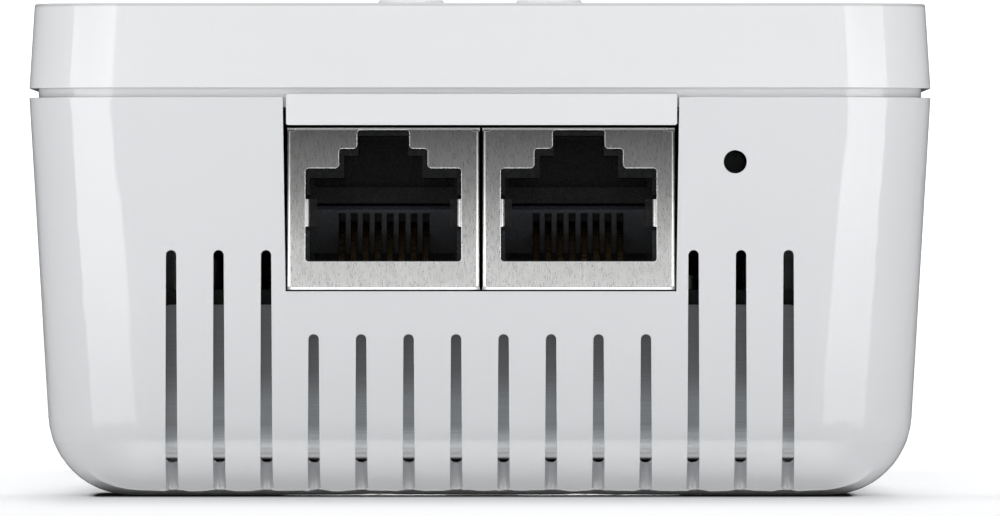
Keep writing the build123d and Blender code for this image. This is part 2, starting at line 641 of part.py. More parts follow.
def main_board():
    """The logic board that the network jacks stand on."""
    bottom = MAIN_BOARD_TOP_Z - MAIN_BOARD_THICK
    bosses = at_corners(SCREW_X, SCREW_NEAR_Y, SCREW_FAR_Y)
    plate = board(MAIN_BOARD_HALF, MAIN_BOARD_NEAR_Y, MAIN_BOARD_FAR_Y, bottom, MAIN_BOARD_TOP_Z, bosses)
    for x, y in MAIN_SCREWS:
        plate -= rod(x, y, 0, 30, 1.2)
    for side in (-1, 1):
        for corner in (-1, 1):
            leg = jack_middle(side) + corner * (JACK_WIDTH / 2 - SHIELD_SHEET / 2)
            plate -= block(leg - 0.3, leg + 0.3, -97.3, -95.3, 0, 30)
    return plate


def upper_board():
    """The radio and control board under the front cover."""
    z0 = UPPER_BOARD_BOTTOM_Z
    z1 = z0 + UPPER_BOARD_THICK
    bosses = at_corners(SCREW_X, SCREW_NEAR_Y, SCREW_FAR_Y)
    plate = board(UPPER_BOARD_HALF, UPPER_BOARD_NEAR_Y, UPPER_BOARD_FAR_Y, z0, z1, bosses)
    for x, y in UPPER_SCREWS:
        plate -= rod(x, y, 0, 40, 1.1)
    return plate


def power_board():
    """The mains board, with a large hole round the plug and socket."""
    z0 = POWER_BOARD_BOTTOM_Z
    z1 = z0 + POWER_BOARD_THICK
    bosses = at_corners(SCREW_X, SCREW_NEAR_Y, SCREW_FAR_Y)
    plate = board(POWER_BOARD_HALF, POWER_BOARD_NEAR_Y, POWER_BOARD_FAR_Y, z0, z1, bosses)
    plate -= rod(0, 0, 0, 20, POWER_BOARD_HOLE_RADIUS)
    for side in (-1, 1):
        low, high = sorted((side * 25.9, side * 27.3))
        plate -= block(low, high, -2.3, 2.3, 0, 20)
    for x, y in POWER_SCREWS:
        plate -= rod(x, y, 0, 20, 1.2)
    return plate


def legs(places, z0, z1, radius=0.35):
    """Round solder legs."""
    return [rod(x, y, z0, z1, radius) for x, y in places]


def button(side):
    """A front button: a stadium cap with a flange inside the cover and a stem to its switch."""
    x = side * BUTTON_X
    top = FRONT_Z + BUTTON_PROUD
    inner = FRONT_Z - WALL
    cap = stadium(x, BUTTON_Y, BUTTON_WIDTH, BUTTON_LENGTH, inner - 0.3, top)
    cap = fillet(cap.faces().sort_by(Axis.Z)[-1].edges(), BUTTON_EDGE)
    cap += stadium(x, BUTTON_Y, BUTTON_WIDTH + 1.4, BUTTON_LENGTH + 1.4, inner - 1.1, inner - 0.05)
    return cap + rod(x, BUTTON_Y, 37.45, inner - 1.0, 1.6)


def switch_body(side):
    """A tact switch under a front button, with a round well for its plunger."""
    x = side * BUTTON_X
    z0 = UPPER_BOARD_BOTTOM_Z + UPPER_BOARD_THICK
    body = soft_block(x - 3.0, x + 3.0, BUTTON_Y - 3.0, BUTTON_Y + 3.0, z0, 36.0, 0.4)
    return body - rod(x, BUTTON_Y, 34.2, 37, 1.85)


def switch_plunger(side):
    """The moving stem of a tact switch."""
    return rod(side * BUTTON_X, BUTTON_Y, 34.9, 37.4, 1.75)


def reset_switch():
    """A side-acting tact switch that hangs from the upper board behind the pinhole."""
    body = block(RESET_X - 3.2, RESET_X + 3.2, -97.0, -93.4, 26.2, UPPER_BOARD_BOTTOM_Z)
    return body - lying_rod(RESET_X, -98.0, -95.0, RESET_Z, 0.95)


def reset_plunger():
    """The moving stem of the reset switch."""
    return lying_rod(RESET_X, -100.2, -95.6, RESET_Z, 0.85)


def light_pipe():
    """Clear pegs in the cover's lamp holes, joined by a bar."""
    under = FRONT_Z - WALL - 0.05
    half = (LAMP_COUNT - 1) / 2 * LAMP_PITCH + 2
    pipe = block(-half, half, LAMP_Y - 1.6, LAMP_Y + 1.6, under - 1.2, under)
    for x in lamp_places():
        pipe += rod(x, LAMP_Y, 34.2, FRONT_Z - 0.05, LAMP_RADIUS)
    return pipe


def leds():
    """Small lamps on the upper board, one under each peg."""
    z0 = UPPER_BOARD_BOTTOM_Z + UPPER_BOARD_THICK
    lamps = [block(x - 0.8, x + 0.8, LAMP_Y - 0.4, LAMP_Y + 0.4, z0, z0 + 0.7) for x in lamp_places()]
    return Compound(children=lamps)


def antenna(side):
    """A stamped antenna: a flat strip with two arms, soldered to the upper board's edge."""
    z0 = UPPER_BOARD_BOTTOM_Z + UPPER_BOARD_THICK
    low, high = sorted((side * 12.0, side * 27.5))
    strip = block(low, high, -37.6, -36.6, z0 + 3.0, z0 + 3.3)
    strip += block(low, high, -40.6, -39.6, z0 + 3.0, z0 + 3.3)
    low, high = sorted((side * 26.5, side * 27.5))
    strip += block(low, high, -40.6, -36.6, z0 + 3.0, z0 + 3.3)
    for y in (-40.4, -37.0):
        low, high = sorted((side * 12.0, side * 12.9))
        strip += block(low, high, y - 0.2, y + 0.2, z0, z0 + 3.3)
    return strip


def wifi_can():
    """A folded tin cover over the radio chips."""
    z0 = UPPER_BOARD_BOTTOM_Z + UPPER_BOARD_THICK
    can = soft_block(-15.0, 15.0, -60.0, -44.0, z0, z0 + 2.4, 0.8)
    can = fillet(can.faces().sort_by(Axis.Z)[-1].edges(), 0.4)
    return can - block(-14.75, 14.75, -59.75, -44.25, z0 - 1, z0 + 2.15)


def board_header():
    """A pin header that joins the main board to the upper board."""
    pieces = block(-8.0, 8.0, -65.5, -63.0, MAIN_BOARD_TOP_Z, UPPER_BOARD_BOTTOM_Z)
    for x in range(-7, 8, 2):
        pieces -= block(x - 0.3, x + 0.3, -65.6, -65.1, MAIN_BOARD_TOP_Z + 1, UPPER_BOARD_BOTTOM_Z - 1)
    return pieces


def lan_magnetics():
    """Two line transformers behind the jacks, with their rows of feet."""
    pieces = []
    for side in (-1, 1):
        x = jack_middle(side)
        body = block(x - 7.2, x + 7.2, -82.5, -75.5, MAIN_BOARD_TOP_Z + 0.2, MAIN_BOARD_TOP_Z + 6.0)
        body = chamfer(body.faces().sort_by(Axis.Z)[-1].edges(), 0.5)
        for index in range(10):
            foot = x - 6.3 + index * 1.4
            body += block(foot - 0.25, foot + 0.25, -83.3, -74.7, MAIN_BOARD_TOP_Z, MAIN_BOARD_TOP_Z + 0.3)
        pieces.append(body)
    return Compound(children=pieces)


def plc_chip():
    """The powerline processor on the underside of the main board."""
    bottom = MAIN_BOARD_TOP_Z - MAIN_BOARD_THICK
    return soft_block(-8.5, 8.5, -90.5, -73.5, bottom - 1.3, bottom, 0.5)


def chip_heatsink():
    """A finned block that carries the chip's heat down to the heat plate."""
    low = PLATE_BOTTOM_Z + PLATE_THICK + 0.3
    top = MAIN_BOARD_TOP_Z - MAIN_BOARD_THICK - 1.3 - 0.5
    sink = block(-11.0, 11.0, -93.0, -71.0, low, top)
    for index in range(5):
        x = -8.0 + index * 4.0
        sink -= block(x - 1.1, x + 1.1, -94, -70, low + 2.0, top - 2.0)
    return sink


def thermal_pads():
    """Soft pads above and below the heatsink."""
    low = PLATE_BOTTOM_Z + PLATE_THICK
    top = MAIN_BOARD_TOP_Z - MAIN_BOARD_THICK - 1.3
    pads = [block(-10.0, 10.0, -92.0, -72.0, low, low + 0.3), block(-8.0, 8.0, -90.0, -74.0, top - 0.5, top)]
    return Compound(children=pads)


def crystal():
    """The clock crystal's can."""
    return soft_block(14.0, 19.0, -72.0, -68.8, MAIN_BOARD_TOP_Z, MAIN_BOARD_TOP_Z + 1.2, 0.8)


def wound_block(x0, x1, y0, y1, z0, z1):
    """A transformer: a core with a wound middle between two cheeks, on solder legs."""
    cheek = 1.6
    core = block(x0 + 1.5, x1 - 1.5, y0, y1, z0 + 2.0, z1)
    core -= block(x0, x1, y0 + 3.0, y1 - 3.0, z0 + 1.0, z1 - 3.0)
    middle = (z0 + z1) / 2 - 0.5
    coil = Pos((x0 + x1) / 2, (y0 + y1) / 2, middle) * Rot(0, 90, 0)
    winding = coil * Cylinder(min((y1 - y0) / 2 - 3.1, (z1 - z0) / 2 - 2.2), x1 - x0 - 2 * cheek)
    body = core + winding
    for x in (x0 + cheek / 2, x1 - cheek / 2):
        body += block(x - cheek / 2, x + cheek / 2, y0 + 3.1, y1 - 3.1, z0, z1 - 3.1)
    return body


def coupling_transformer():
    """The signal transformer between the mains and the powerline chip."""
    z0 = POWER_BOARD_BOTTOM_Z + POWER_BOARD_THICK
    return wound_block(14.0, 27.0, -45.0, -33.0, z0, z0 + 11.0)


def flyback_transformer():
    """The switching supply's transformer."""
    z0 = POWER_BOARD_BOTTOM_Z + POWER_BOARD_THICK
    return wound_block(-9.0, 10.0, -47.0, -28.0, z0, z0 + 18.0)


def fuse():
    """A cylindrical fuse that lies between two end caps."""
    z = POWER_BOARD_BOTTOM_Z + POWER_BOARD_THICK + 2.8
    tube = Pos(0, 29.0, z) * Rot(0, 90, 0) * Cylinder(2.3, 14.0)
    for side in (-1, 1):
        tube += Pos(side * 8.0, 29.0, z) * Rot(0, 90, 0) * Cylinder(2.6, 4.0)
        tube += block(side * 8.0 - 0.4, side * 8.0 + 0.4, 28.2, 29.8, z - 2.8, z)
    return tube


def varistor():
    """A round surge absorber that stands on two legs."""
    z0 = POWER_BOARD_BOTTOM_Z + POWER_BOARD_THICK
    disc = Pos(-24.5, 24.5, z0 + 8.0) * Rot(90, 0, 0) * Cylinder(5.4, 3.4)
    disc = fillet(disc.edges().filter_by(GeomType.CIRCLE), 1.2)
    for x in (-27.0, -22.0):
        disc += rod(x, 24.5, z0, z0 + 5, 0.4)
    return disc


def x_capacitor():
    """The box film capacitor across the mains."""
    z0 = POWER_BOARD_BOTTOM_Z + POWER_BOARD_THICK
    body = soft_block(15.5, 28.0, 21.5, 28.0, z0, z0 + 12.0, 0.6)
    return fillet(body.faces().sort_by(Axis.Z)[-1].edges(), 0.5)


def common_mode_choke():
    """A ring core choke that stands on its base."""
    z0 = POWER_BOARD_BOTTOM_Z + POWER_BOARD_THICK
    torus = Pos(-24.0, -36.0, z0 + 8.4) * Rot(90, 0, 0) * Torus(5.0, 2.4)
    return torus + block(-31.0, -17.0, -39.5, -32.5, z0, z0 + 2.2)


def bridge_rectifier():
    """The flat rectifier, standing on four legs."""
    z0 = POWER_BOARD_BOTTOM_Z + POWER_BOARD_THICK
    body = block(-30.0, -15.5, -49.5, -46.0, z0 + 2.5, z0 + 13.0)
    for index in range(4):
        x = -28.0 + index * 3.5
        body += block(x - 0.5, x + 0.5, -48.1, -47.4, z0, z0 + 3.0)
    return body


def can_capacitor(x, y, z0, radius, height):
    """An electrolytic capacitor: a can with a rolled groove near its foot."""
    can = rod(x, y, z0, z0 + height, radius)
    can = fillet(can.edges().filter_by(GeomType.CIRCLE), 0.6)
    return can - (rod(x, y, z0 + 1.8, z0 + 2.6, radius + 1) - rod(x, y, z0 + 1, z0 + 4, radius - 0.35))


def bulk_capacitors():
    """The two high-voltage reservoir capacitors."""
    z0 = POWER_BOARD_BOTTOM_Z + POWER_BOARD_THICK
    return Compound(children=[can_capacitor(x, -54.5, z0, 4.9, 20.0) for x in (-18.0, 2.0)])


def output_capacitors():
    """The low-voltage output capacitors."""
    z0 = POWER_BOARD_BOTTOM_Z + POWER_BOARD_THICK
    return Compound(children=[can_capacitor(x, -54.5, z0, 3.9, 14.0) for x in (13.0, 22.0)])


def insulating_sheet():
    """The thin sheet between the heat plate and the power board's solder side."""
    z0 = PLATE_BOTTOM_Z + PLATE_THICK
    sheet = soft_block(-25.5, 25.5, -58.0, -27.0, z0, z0 + 0.4, 1.0)
    for x, y in POWER_SCREWS:
        sheet -= rod(x, y, 0, 20, 3.1)
    return sheet


def cross_recess(x, y, z, depth):
    """The drive recess of a screw, open downwards at height z."""
    bars = block(x - 1.3, x + 1.3, y - 0.3, y + 0.3, z - 1, z + depth)
    return bars + block(x - 0.3, x + 0.3, y - 1.3, y + 1.3, z - 1, z + depth)


def case_screws():
    """Four screws driven from the back through the shell's bosses into the cover's."""
    screws = []
    for x, y in at_corners(SCREW_X, SCREW_NEAR_Y, SCREW_FAR_Y):
        head = rod(x, y, SCREW_SEAT_Z - 2.0, SCREW_SEAT_Z, SCREW_HEAD_RADIUS)
        head = fillet(head.faces().sort_by(Axis.Z)[0].edges(), 0.6)
        head -= cross_recess(x, y, SCREW_SEAT_Z - 2.0, 1.2)
        screws.append(head + rod(x, y, SCREW_SEAT_Z, BOSS_SPLIT_Z + 8.0, SCREW_RADIUS - 0.22))
    return Compound(children=screws)


def board_screws():
    """The small screws that hold the three boards."""
    screws = []
    top = POWER_BOARD_BOTTOM_Z + POWER_BOARD_THICK
    for x, y in POWER_SCREWS:
        screws.append(rod(x, y, top, top + 1.4, 2.0) + rod(x, y, 2.6, top, 0.98))
    top = MAIN_BOARD_TOP_Z
    for x, y in MAIN_SCREWS:
        screws.append(rod(x, y, top, top + 1.4, 2.0) + rod(x, y, 9.0, top, 0.98))
    low = UPPER_BOARD_BOTTOM_Z
    for x, y in UPPER_SCREWS:
        screws.append(rod(x, y, low - 1.2, low, 1.8) + rod(x, y, low, low + 3.0, 0.88))
    return Compound(children=screws)


def rating_label():
    """A blank label in its shallow recess on the rear face."""
    return soft_block(-LABEL_HALF, LABEL_HALF, LABEL_NEAR_Y, LABEL_FAR_Y, 0.05, LABEL_THICK + 0.05, 1.5)


def all_pieces():
    """Every node's name and solid."""
    pieces = {
        "rear_shell": rear_shell(),
        "front_cover": front_cover(),
        "mid_frame": mid_frame(),
        "heat_plate": heat_plate(),
        "plug_body": plug_body(),
        "live_pin": plug_pin(-1),
        "neutral_pin": plug_pin(1),
        "plug_earth_strap": plug_earth_strap(),
        "socket_insert": socket_insert(),
        "socket_base": socket_base(),
        "socket_shutter": socket_shutter(),
        "shutter_spring": shutter_spring(),
        "live_contact": mains_contact(-1),
        "neutral_contact": mains_contact(1),
        "socket_earth_strap": socket_earth_strap(),
        "main_board": main_board(),
        "upper_board": upper_board(),
        "power_board": power_board(),
        "board_header": board_header(),
        "lan_magnetics": lan_magnetics(),
        "plc_chip": plc_chip(),
        "chip_heatsink": chip_heatsink(),
        "thermal_pads": thermal_pads(),
        "crystal": crystal(),
        "coupling_transformer": coupling_transformer(),
        "flyback_transformer": flyback_transformer(),
        "fuse": fuse(),
        "varistor": varistor(),
        "x_capacitor": x_capacitor(),
        "common_mode_choke": common_mode_choke(),
        "bridge_rectifier": bridge_rectifier(),
        "bulk_capacitors": bulk_capacitors(),
        "output_capacitors": output_capacitors(),
        "insulating_sheet": insulating_sheet(),
        "wifi_can": wifi_can(),
        "antenna_left": antenna(-1),
        "antenna_right": antenna(1),
        "leds": leds(),
        "light_pipe": light_pipe(),
        "reset_switch": reset_switch(),
        "reset_plunger": reset_plunger(),
        "case_screws": case_screws(),
        "board_screws": board_screws(),
        "rating_label": rating_label(),
    }
    for name, side in (("left", -1), ("right", 1)):
        pieces["jack_shield_" + name] = jack_shield(side)
        pieces["jack_housing_" + name] = jack_housing(side)
        pieces["jack_contacts_" + name] = jack_contacts(side)
    for name, side in (("pair", -1), ("wifi", 1)):
        pieces[name + "_button"] = button(side)
        pieces[name + "_switch"] = switch_body(side)
        pieces[name + "_plunger"] = switch_plunger(side)
    return pieces


os.makedirs("parts", exist_ok=True)
for node, solid in all_pieces().items():
    export_step(solid, "parts/" + node + ".step")
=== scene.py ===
"""Looks of the powerline adapter: procedural materials on the CAD pieces, a pale table and studio light."""

import math

import bpy
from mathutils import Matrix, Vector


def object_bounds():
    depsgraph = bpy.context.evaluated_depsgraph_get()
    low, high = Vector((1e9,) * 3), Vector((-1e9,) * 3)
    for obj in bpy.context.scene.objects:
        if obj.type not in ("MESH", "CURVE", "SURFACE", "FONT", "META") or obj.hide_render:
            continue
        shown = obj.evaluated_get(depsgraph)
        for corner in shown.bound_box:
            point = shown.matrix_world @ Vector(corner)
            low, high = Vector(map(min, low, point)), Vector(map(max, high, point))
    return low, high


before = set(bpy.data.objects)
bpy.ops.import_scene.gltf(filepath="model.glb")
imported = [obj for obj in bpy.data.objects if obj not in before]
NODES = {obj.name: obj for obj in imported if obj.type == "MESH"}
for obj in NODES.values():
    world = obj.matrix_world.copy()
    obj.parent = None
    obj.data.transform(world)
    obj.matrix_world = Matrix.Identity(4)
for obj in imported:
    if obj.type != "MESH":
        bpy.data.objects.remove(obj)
CAD_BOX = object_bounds()
PORT_END_Y = CAD_BOX[0].y

# ---- Camera: a long lens, level, a little to the right of the middle ----
CAMERA_DISTANCE = 1.1
VIEW_WIDTH = 0.08414
SENSOR_WIDTH = 36.0
CAMERA_X = 0.0017
CAMERA_Z = 0.0201

# ---- Studio light, by direction: azimuth from the port end's normal, elevation from the horizon ----
HALF_TURN = math.pi
TURN = 2 * math.pi

# The tent all round.
SKY = 0.43

# The tent overhead, and its brighter part behind the case.
TOP_FRONT = 1.10
TOP_FROM = math.radians(35.0)
TOP_SOFT = 0.5
TOP_BACK = 1.55
TOP_BACK_FROM = math.radians(42.0)
TOP_BACK_SOFT = 0.4
BACK_FROM = math.radians(90.0)
BACK_SOFT = 1.0

# The table as the case reflects it: grey far off, bright close by and near the middle.
LOW_FRONT = 0.45
LOW_FROM = math.radians(-38.0)
LOW_TO = math.radians(-4.0)
FLOOR_GLOW = 2.6
FLOOR_SOFT = 0.03
GLOW_HALF = 0.45
GLOW_SOFT = 0.7

# The dark of the room to the sides and behind.
BEHIND = 0.0
BEHIND_FROM = math.radians(72.0)
BEHIND_SOFT = 0.6
LEVEL_FROM = math.radians(-50.0)
LEVEL_TO = math.radians(38.0)
LEVEL_SOFT = 0.3

# Two soft boxes beside the camera.
BOX_FROM = math.radians(15.0)
BOX_TO_LEFT = math.radians(69.0)
BOX_TO_RIGHT = math.radians(65.0)
BOX_SIDE_SOFT = 0.02
BOX_LOW = math.radians(-15.0)
BOX_HIGH = math.radians(9.5)
BOX_END_SOFT = 0.05
BOX_GLOW = 2.9

# The white backdrop, which only the camera sees.
BACKDROP = 1.25

# A weak strip of light in the case, under the heat plate's bend.
STRIP_POWER = 0.00145
STRIP_LENGTH = 0.056
STRIP_WIDTH = 0.0016
STRIP_PLACE = (0.0, -0.0987, 0.0026)

# ---- Table: where the case rests on it, and its painted contact shadow, darker towards the case ----
TABLE_HALF = 3.0
TABLE_Z = -0.00005
CONTACT_X = -0.0006
CONTACT_HALF_X = 0.0315
CONTACT_NEAR_Y = -0.0970
CONTACT_FAR_Y = -0.0900
SIDE_FALL = 8.0
SHADE_REACH = 0.080
FLOOR_PAINTED_SHADOW = [
    (0.0, 0.03),
    (0.0045, 0.04),
    (0.0065, 0.45),
    (0.009, 0.64),
    (0.014, 0.69),
    (0.023, 0.74),
    (0.032, 0.80),
    (0.041, 0.87),
    (0.058, 0.96),
    (0.080, 1.0),
]

# Painted light: the table's own faint glow, in front of the case and behind it, and how far off it starts.
FRONT_LIFT = 0.08
SIDE_LIFT = 0.22
FRONT_LIFT_Y = CONTACT_NEAR_Y - 0.008
SIDE_LIFT_Y = CONTACT_NEAR_Y + 0.012
LIFT_FROM = 0.004
LIFT_TO = 0.012

# ---- Painted highlight on the edges of sheet: the cosine between rounded and flat normals where it is full, and ends ----
EDGE_FULL = 0.93
EDGE_NONE = 0.995


class Material:
    """A node material with short calls for the steps that repeat."""

    def __init__(self, name):
        self.made = bpy.data.materials.new(name)
        self.made.use_nodes = True
        self.nodes = self.made.node_tree.nodes
        self.links = self.made.node_tree.links
        self.shader = self.nodes["Principled BSDF"]
        self.place = self.nodes.new("ShaderNodeTexCoord").outputs["Object"]

    def set(self, **values):
        """Uniform values go straight on the shader's own sockets."""
        for key, value in values.items():
            self.shader.inputs[key.replace("_", " ")].default_value = value
        return self

    def link(self, output, socket):
        self.links.new(output, self.shader.inputs[socket])

    def scaled(self, scale):
        """Object coordinates stretched along the axes."""
        mapping = self.nodes.new("ShaderNodeMapping")
        mapping.inputs["Scale"].default_value = scale
        self.links.new(self.place, mapping.inputs["Vector"])
        return mapping.outputs["Vector"]

    def noise(self, scale, detail=3.0, stretch=None, rough=0.55):
        """A noise value, with scale in features per metre."""
        texture = self.nodes.new("ShaderNodeTexNoise")
        texture.inputs["Scale"].default_value = scale
        texture.inputs["Detail"].default_value = detail
        texture.inputs["Roughness"].default_value = rough
        self.links.new(self.scaled(stretch) if stretch else self.place, texture.inputs["Vector"])
        return texture.outputs["Fac"]

    def ranged(self, value, low, high, from_low=0.3, from_high=0.7):
        """A value carried from one range to another."""
        node = self.nodes.new("ShaderNodeMapRange")
        node.inputs["From Min"].default_value = from_low
        node.inputs["From Max"].default_value = from_high
        node.inputs["To Min"].default_value = low
        node.inputs["To Max"].default_value = high
        self.links.new(value, node.inputs["Value"])
        return node.outputs["Result"]

    def ramp(self, value, stops):
        """A colour ramp over (position, colour) stops."""
        node = self.nodes.new("ShaderNodeValToRGB")
        elements = node.color_ramp.elements
        while len(elements) < len(stops):
            elements.new(0.5)
        for element, (position, colour) in zip(elements, stops):
            element.position = position
            element.color = (*colour, 1.0)
        self.links.new(value, node.inputs["Fac"])
        return node.outputs["Color"]

    def mix(self, factor, first, second, mode="MIX"):
        """Two colours mixed; factor, first and second may each be a socket or a value."""
        node = self.nodes.new("ShaderNodeMix")
        node.data_type = "RGBA"
        node.blend_type = mode
        for socket, value in ((0, factor), (6, first), (7, second)):
            if isinstance(value, bpy.types.NodeSocket):
                self.links.new(value, node.inputs[socket])
            else:
                node.inputs[socket].default_value = value if socket == 0 else (*value, 1.0)
        return node.outputs[2]

    def bump(self, height, strength, distance, edge=0.0):
        """Bump from a height value, with distance and the soft edge's radius in metres."""
        node = self.nodes.new("ShaderNodeBump")
        if edge:
            self.links.new(self.rounded(edge), node.inputs["Normal"])
        node.inputs["Strength"].default_value = strength
        node.inputs["Distance"].default_value = distance
        self.links.new(height, node.inputs["Height"])
        self.link(node.outputs["Normal"], "Normal")

    def height(self):
        """The Z of the place on the object."""
        node = self.nodes.new("ShaderNodeSeparateXYZ")
        self.links.new(self.place, node.inputs[0])
        return node.outputs["Z"]

    def rounded(self, radius):
        """Shading normals that run softly over sharp edges, with radius in metres."""
        node = self.nodes.new("ShaderNodeBevel")
        node.samples = 6
        node.inputs["Radius"].default_value = radius
        return node.outputs["Normal"]

    def at_edges(self, radius):
        """1 on sharp edges, where the rounded normal leaves the flat one, and 0 elsewhere."""
        dot = self.nodes.new("ShaderNodeVectorMath")
        dot.operation = "DOT_PRODUCT"
        flat = self.nodes.new("ShaderNodeNewGeometry").outputs["True Normal"]
        self.links.new(self.rounded(radius), dot.inputs[0])
        self.links.new(flat, dot.inputs[1])
        return self.ranged(dot.outputs["Value"], 1.0, 0.0, EDGE_FULL, EDGE_NONE)

    def by_height(self, stops):
        """A grey factor from (height in metres, factor) stops."""
        lowest, highest = stops[0][0], stops[-1][0]
        share = self.ranged(self.height(), 0.0, 1.0, lowest, highest)
        return self.ramp(share, [((z - lowest) / (highest - lowest), (factor,) * 3) for z, factor in stops])


def shade(colour, factor):
    """A colour made lighter or darker."""
    return tuple(min(1.0, channel * factor) for channel in colour)


def polished_plastic(name, colour, roughness=0.05, wave=0.02, edge=0.0, tone=None, shine=None):
    """Glossy moulded plastic: faint flow mottling and a very fine surface ripple.

    edge is the radius of its soft corners. tone and shine are optional lists of (height, factor); tone
    paints light and shade.
    """
    m = Material(name)
    m.set(IOR=1.54)
    if shine:
        m.link(m.by_height(shine), "Specular IOR Level")
    flow = m.noise(38.0, 4.0, stretch=(1.0, 0.6, 1.6))
    tint = m.ramp(flow, [(0.25, shade(colour, 0.985)), (0.75, shade(colour, 1.01))])
    # tone multiplies the colour by height: painted light and shade.
    if tone:
        tint = m.mix(1.0, tint, m.by_height(tone), "MULTIPLY")
    m.link(tint, "Base Color")
    haze = m.noise(1900.0, 3.0)
    m.link(m.ranged(haze, roughness * 0.7, roughness * 1.4), "Roughness")
    m.bump(m.noise(700.0, 4.0), wave, 0.00004, edge)
    return m.made


def satin_plastic(name, colour, roughness=0.42, grain=0.25, shine=0.5, tone=None):
    """Moulded plastic with a fine spark texture. tone is an optional list of (height, factor)."""
    m = Material(name)
    m.set(IOR=1.5, Specular_IOR_Level=shine)
    cloud = m.noise(120.0, 5.0)
    tint = m.ramp(cloud, [(0.25, shade(colour, 0.82)), (0.75, shade(colour, 1.2))])
    # tone multiplies the colour by height: painted light and shade.
    if tone:
        tint = m.mix(1.0, tint, m.by_height(tone), "MULTIPLY")
    m.link(tint, "Base Color")
    m.link(m.ranged(m.noise(2600.0, 2.0), roughness - 0.08, roughness + 0.10), "Roughness")
    m.bump(m.noise(5200.0, 3.0), grain, 0.00003)
    return m.made


def brushed_metal(name, colour, grain, roughness=0.30, contrast=0.16, tone=None, edge=0.0, metal=None):
    """Rolled sheet with a directional grain. grain gives how fine the lines are along each axis.

    tone and metal are optional lists of (height in metres, factor) for a slow change over the sheet; tone
    paints light and shade.
    edge is the radius of its soft edges, which get a painted highlight.
    """
    m = Material(name)
    m.set(Metallic=1.0)
    if metal:
        m.link(m.by_height(metal), "Metallic")
    fine = m.noise(1.0, 3.0, stretch=grain, rough=0.7)
    light = shade(colour, 1 + contrast)
    dark = shade(colour, 1 - contrast)
    tint = m.ramp(fine, [(0.28, dark), (0.5, colour), (0.72, light)])
    # tone multiplies the colour by height: painted light and shade.
    if tone:
        tint = m.mix(1.0, tint, m.by_height(tone), "MULTIPLY")
    # Painted highlight: near-white on the sheet's sharp edges.
    if edge:
        tint = m.mix(m.at_edges(edge), tint, (0.97, 0.97, 0.96))
    m.link(tint, "Base Color")
    m.link(m.ranged(fine, roughness - 0.07, roughness + 0.09), "Roughness")
    m.bump(fine, 0.25, 0.00001, edge)
    return m.made


def turned_metal(name, colour, roughness=0.22):
    """Plated turned or stamped metal with slight stains and fine marks."""
    m = Material(name)
    m.set(Metallic=1.0)
    stain = m.noise(260.0, 5.0)
    m.link(m.ramp(stain, [(0.3, shade(colour, 0.86)), (0.7, shade(colour, 1.05))]), "Base Color")
    marks = m.noise(1.0, 2.0, stretch=(900.0, 900.0, 9000.0))
    m.link(m.ranged(marks, roughness - 0.06, roughness + 0.10), "Roughness")
    m.bump(marks, 0.15, 0.00001)
    return m.made


def circuit_board(name, mask, copper):
    """Solder resist over a pattern of tracks."""
    m = Material(name)
    m.set(IOR=1.5)
    brick = m.nodes.new("ShaderNodeTexBrick")
    brick.inputs["Scale"].default_value = 260.0
    brick.inputs["Mortar Size"].default_value = 0.06
    brick.inputs["Color1"].default_value = (*mask, 1.0)
    brick.inputs["Color2"].default_value = (*shade(mask, 1.25), 1.0)
    brick.inputs["Mortar"].default_value = (*copper, 1.0)
    m.links.new(m.place, brick.inputs["Vector"])
    cloud = m.noise(90.0, 3.0)
    m.link(m.mix(m.ranged(cloud, 0.0, 0.8), shade(mask, 1.0), brick.outputs["Color"]), "Base Color")
    m.link(m.ranged(m.noise(1500.0), 0.28, 0.42), "Roughness")
    m.bump(brick.outputs["Fac"], 0.2, 0.00003)
    return m.made


def clear_plastic(name, colour):
    """Light pipe material: clear, with a faint haze."""
    m = Material(name)
    m.set(IOR=1.49, Transmission_Weight=0.85)
    haze = m.noise(600.0, 3.0)
    m.link(m.ramp(haze, [(0.3, shade(colour, 0.93)), (0.7, colour)]), "Base Color")
    m.link(m.ranged(haze, 0.05, 0.2), "Roughness")
    return m.made


def paper_label(name, colour):
    """Satin label film with a paper core."""
    m = Material(name)
    fibre = m.noise(900.0, 6.0)
    m.link(m.ramp(fibre, [(0.3, shade(colour, 0.95)), (0.7, colour)]), "Base Color")
    m.link(m.ranged(fibre, 0.38, 0.52), "Roughness")
    m.bump(fibre, 0.1, 0.00002)
    return m.made


def wound_wire(name, core, wire):
    """Ferrite and enamelled wire: fine bands of copper on dark ceramic."""
    m = Material(name)
    wave = m.nodes.new("ShaderNodeTexWave")
    wave.inputs["Scale"].default_value = 330.0
    wave.inputs["Distortion"].default_value = 1.5
    m.links.new(m.place, wave.inputs["Vector"])
    patch = m.ramp(m.noise(70.0, 2.0), [(0.48, (0.0,) * 3), (0.54, (1.0,) * 3)])
    bands = m.mix(wave.outputs["Fac"], shade(wire, 0.5), wire)
    m.link(m.mix(patch, core, bands), "Base Color")
    m.link(m.ranged(m.noise(1200.0), 0.35, 0.55), "Roughness")
    m.bump(wave.outputs["Fac"], 0.3, 0.00008)
    return m.made


WHITE_SHELL = (0.862, 0.867, 0.882)
WHITE_COVER = (0.835, 0.839, 0.848)
WHITE_BUTTON = (0.93, 0.93, 0.935)
BLACK = (0.006, 0.0065, 0.0078)

# Grain of brushed sheet: how fine its lines are along X, Y and Z.
ACROSS = (60.0, 9000.0, 9000.0)
UPRIGHT = (14000.0, 14000.0, 2200.0)
